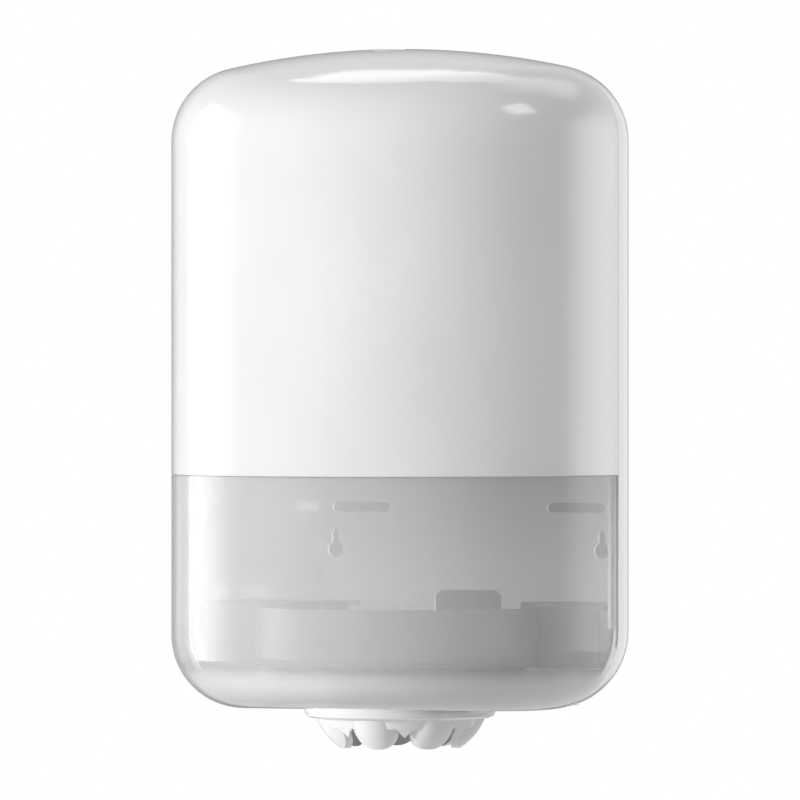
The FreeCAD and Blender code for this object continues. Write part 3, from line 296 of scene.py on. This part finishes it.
def build_world():
    """White for the camera and for reflections, a softer level for what lights the object, and dim
    behind the openings that are seen through the window, which is painted shade."""
    world = bpy.data.worlds.new("studio")
    bpy.context.scene.world = world
    world.use_nodes = True
    tree = world.node_tree
    tree.nodes.clear()
    path = tree.nodes.new("ShaderNodeLightPath")
    past = spread(tree, (path, "Transparent Depth"), WINDOW_PASSED, (1.0, BEHIND_LIGHT))
    seen = maths(tree, "MULTIPLY", (path, "Is Camera Ray"), (past, "Result"))
    shine = maths(tree, "MAXIMUM", (path, "Is Glossy Ray"), (path, "Is Transmission Ray"))
    shown = maths(tree, "MAXIMUM", (seen, "Value"), (shine, "Value"))
    direct = maths(tree, "MAXIMUM", (path, "Is Camera Ray"), (shine, "Value"))
    soft = maths(tree, "MULTIPLY_ADD", (direct, "Value"), -WORLD_LIGHT, WORLD_LIGHT)
    level = maths(tree, "ADD", (shown, "Value"), (soft, "Value"))
    back = tree.nodes.new("ShaderNodeBackground")
    back.inputs["Color"].default_value = (1, 1, 1, 1)
    link(tree, level, "Value", back, "Strength")
    end = tree.nodes.new("ShaderNodeOutputWorld")
    link(tree, back, "Background", end, "Surface")


build_world()


# Floor

FLOOR_REACH = 1.6
FLOOR_FRONT = 1.7
FLOOR_HEIGHT = -0.52
FLOOR_COLOUR = (0.7, 0.7, 0.7, 1)
FLOOR_GLOW = 0.4


def build_floor():
    """Pale floor under the object, which keeps its shadow. It glows for the camera and in gloss."""
    mesh = bpy.data.meshes.new("floor")
    corners = [
        (-FLOOR_REACH, -FLOOR_FRONT), (FLOOR_REACH, -FLOOR_FRONT),
        (FLOOR_REACH, FLOOR_REACH), (-FLOOR_REACH, FLOOR_REACH),
    ]
    mesh.from_pydata([(x, y, FLOOR_HEIGHT) for x, y in corners], [], [(0, 1, 2, 3)])
    floor = bpy.data.objects.new("floor", mesh)
    bpy.context.scene.collection.objects.link(floor)
    material, tree = new_tree("floor")
    matt = tree.nodes.new("ShaderNodeBsdfDiffuse")
    matt.inputs["Color"].default_value = FLOOR_COLOUR
    glow = tree.nodes.new("ShaderNodeEmission")
    path = tree.nodes.new("ShaderNodeLightPath")
    seen = maths(tree, "MAXIMUM", (path, "Is Camera Ray"), (path, "Is Glossy Ray"))
    part = maths(tree, "MULTIPLY", (seen, "Value"), FLOOR_GLOW)
    link(tree, part, "Value", glow, "Strength")
    both = tree.nodes.new("ShaderNodeAddShader")
    link(tree, matt, "BSDF", both, 0)
    link(tree, glow, "Emission", both, 1)
    end = tree.nodes.new("ShaderNodeOutputMaterial")
    link(tree, both, "Shader", end, "Surface")
    mesh.materials.append(material)


build_floor()


# Lamps and reflector cards

TARGET = Vector((0.0, -0.1135, -0.01995))
TURN = math.radians(18.9)


def around(azimuth, elevation, distance):
    """Place in a direction seen from the object: azimuth 0 is the camera's side, and it grows to
    its right."""
    turn = math.radians(azimuth) + TURN
    rise = math.radians(elevation)
    level = math.cos(rise)
    way = Vector((math.sin(turn) * level, -math.cos(turn) * level, math.sin(rise)))
    return TARGET + distance * way


def named_group(name, names):
    """Collection of nodes, for light linking."""
    group = bpy.data.collections.new(name)
    for node_name in names:
        group.objects.link(nodes[node_name])
    return group


def lamp(name, azimuth, elevation, distance, width, height, radiance,
         only=None, shade=None, never=None):
    """Soft box that doesn't show in gloss. It may light only some nodes, or spare some, or be
    shaded by only some."""
    data = bpy.data.lights.new(name, "AREA")
    data.shape = "RECTANGLE"
    data.size = width
    data.size_y = height
    # An area lamp's power is its radiance times pi times its area.
    data.energy = radiance * math.pi * width * height
    made = bpy.data.objects.new(name, data)
    bpy.context.scene.collection.objects.link(made)
    made.location = around(azimuth, elevation, distance)
    made.rotation_euler = (TARGET - made.location).to_track_quat("-Z", "Y").to_euler()
    made.visible_glossy = False
    if only or never:
        lit = named_group(name + "_lit", only or never)
        made.light_linking.receiver_collection = lit
        if never:
            for entry in lit.collection_objects:
                entry.light_linking.link_state = "EXCLUDE"
    if shade:
        made.light_linking.blocker_collection = named_group(name + "_shade", shade)


def edge_fade(tree, split, axis, start, full):
    """Rises from 0 to 1 between two places along an axis of a card."""
    rising = start < full
    before = (min(start, full), max(start, full))
    return spread(tree, (split, axis), before, (0.0, 1.0) if rising else (1.0, 0.0), soft=True)


def soft_edges(tree, across, along, glow):
    """The glow, fading to nothing towards each edge of a card."""
    split = object_place(tree)
    share = None
    for axis, marks in (("X", across), ("Y", along)):
        for start, full in ((marks[0], marks[1]), (marks[3], marks[2])):
            fade = (edge_fade(tree, split, axis, start, full), "Result")
            share = (maths(tree, "MULTIPLY", share, fade), "Value") if share else fade
    clear = tree.nodes.new("ShaderNodeBsdfTransparent")
    mixed = tree.nodes.new("ShaderNodeMixShader")
    link(tree, *share, mixed, 0)
    link(tree, clear, "BSDF", mixed, 1)
    link(tree, glow, "Emission", mixed, 2)
    return mixed


def card(name, azimuth, elevation, distance, across, along, radiance):
    """Reflector seen only in gloss. across and along give, in metres from the middle, where it
    starts, where it is full, where it fades again and where it ends. Without along, across is a
    sharp outline."""
    if along:
        left, right, bottom, top = across[0], across[3], along[0], along[3]
        corners = [(left, bottom), (right, bottom), (right, top), (left, top)]
    else:
        corners = across
    mesh = bpy.data.meshes.new(name)
    mesh.from_pydata([(x, y, 0) for x, y in corners], [], [tuple(range(len(corners)))])
    made = bpy.data.objects.new(name, mesh)
    bpy.context.scene.collection.objects.link(made)
    made.location = around(azimuth, elevation, distance)
    made.rotation_euler = (made.location - TARGET).to_track_quat("Z", "Y").to_euler()
    material, tree = new_tree(name)
    glow = tree.nodes.new("ShaderNodeEmission")
    glow.inputs["Color"].default_value = (1, 1, 1, 1)
    glow.inputs["Strength"].default_value = radiance
    end = tree.nodes.new("ShaderNodeOutputMaterial")
    if along:
        link(tree, soft_edges(tree, across, along, glow), "Shader", end, "Surface")
    else:
        link(tree, glow, "Emission", end, "Surface")
    mesh.materials.append(material)
    made.visible_camera = False
    made.visible_diffuse = False
    made.visible_transmission = False
    made.visible_shadow = False


WALL = ["back_shell", "tray_screws"]
TRAY = ["roll_tray"]
WINDOW = ["cover_window"]
OUTLET = ["nozzle", "paper_guide"]

# A lamp that only the tray's screws shade passes through the housing.
SCREWS = ["tray_screws"]

# Azimuth, elevation, distance, width, height and radiance, then the nodes that alone are lit, that
# alone give shade, and that are spared.
LAMPS = [
    ("key", -44, 18, 2.2, 1.6, 1.6, 4.9, None, None, OUTLET),
    ("left_box", -111, 6, 1.5, 1.0, 2.0, 0.6, None, None, OUTLET),
    ("right_box", 118, 0, 1.6, 1.5, 2.2, 2.0, None, None, OUTLET),
    ("rear_box", 180, 50, 1.9, 1.2, 0.8, 0.6, None, None, OUTLET),
    ("wall_box", 28, 0, 1.6, 0.4, 0.8, 4.4, WALL, SCREWS),
    ("tray_box", 80, 0, 1.6, 0.8, 0.8, 2.6, TRAY, SCREWS),
    ("window_box", -72, 0, 1.5, 1.0, 1.0, 5.0, WINDOW),
    ("low_box", 20, -55, 0.58, 0.4, 0.4, 0.6, WINDOW),
    ("outlet_box", -66, -6, 0.7, 0.12, 0.12, 100.0, OUTLET, OUTLET),
    ("under_box", -20, -60, 0.5, 0.4, 0.4, 0.3, OUTLET, OUTLET),
]

# Outline of the reflector behind the object, for the long highlight on the roof.
BAND = [
    (0.36, 0.05), (0.28, -0.07), (0.21, -0.14), (0.16, -0.18),
    (0.04, -0.14), (-0.07, -0.17), (-0.23, 0.12), (-0.43, 0.35),
    (-0.79, 0.60), (-0.80, 0.80), (-0.25, 0.86), (-0.07, 0.66),
    (0.10, 0.64), (0.19, 0.54), (0.29, 0.37), (0.37, 0.19),
]

# Azimuth, elevation, distance, places across and along, and radiance.
CARDS = [
    ("left_card", -111, 6, 1.5, (-0.48, -0.45, -0.1, 0.75), (-1.3, -1.0, 0.5, 1.0), 7.0),
    ("right_card", 121, 0, 1.6, (-1.3, -0.5, -0.4, 0.75), (-1.4, -1.2, 0.35, 1.0), 3.2),
    ("roof_card", 130, 52, 1.6, (-0.6, -0.2, 0.1, 0.45), (-0.5, -0.2, 0.2, 0.6), 2.4),
    ("rear_card", 180, 46, 1.8, BAND, None, 2.6),
    ("small_card", 72, 41, 1.55, (-0.32, -0.16, 0.04, 0.14), (-0.16, 0.0, 0.2, 0.32), 6.0),
    ("dark_card", -165, 0, 1.2, (-0.8, -0.7, 0.1, 0.55), (-1.3, -1.1, 0.25, 0.9), 0.3),
]
for row in LAMPS:
    lamp(*row)
for row in CARDS:
    card(*row)


# Camera

CAMERA_DISTANCE = 4.83
CAMERA_HEIGHT = -0.00073
LENS = 418.5
SENSOR_WIDTH = 36.0
FARTHEST = 50.0

camera_data = bpy.data.cameras.new("camera")
camera_data.lens = LENS
camera_data.sensor_width = SENSOR_WIDTH
camera_data.clip_end = FARTHEST
camera = bpy.data.objects.new("camera", camera_data)
bpy.context.scene.collection.objects.link(camera)
camera.location = (
    CAMERA_DISTANCE * math.sin(TURN),
    TARGET.y - CAMERA_DISTANCE * math.cos(TURN),
    CAMERA_HEIGHT,
)
camera.rotation_euler = (TARGET - camera.location).to_track_quat("-Z", "Y").to_euler()
bpy.context.scene.camera = camera
bpy.context.scene.view_settings.view_transform = "Standard"
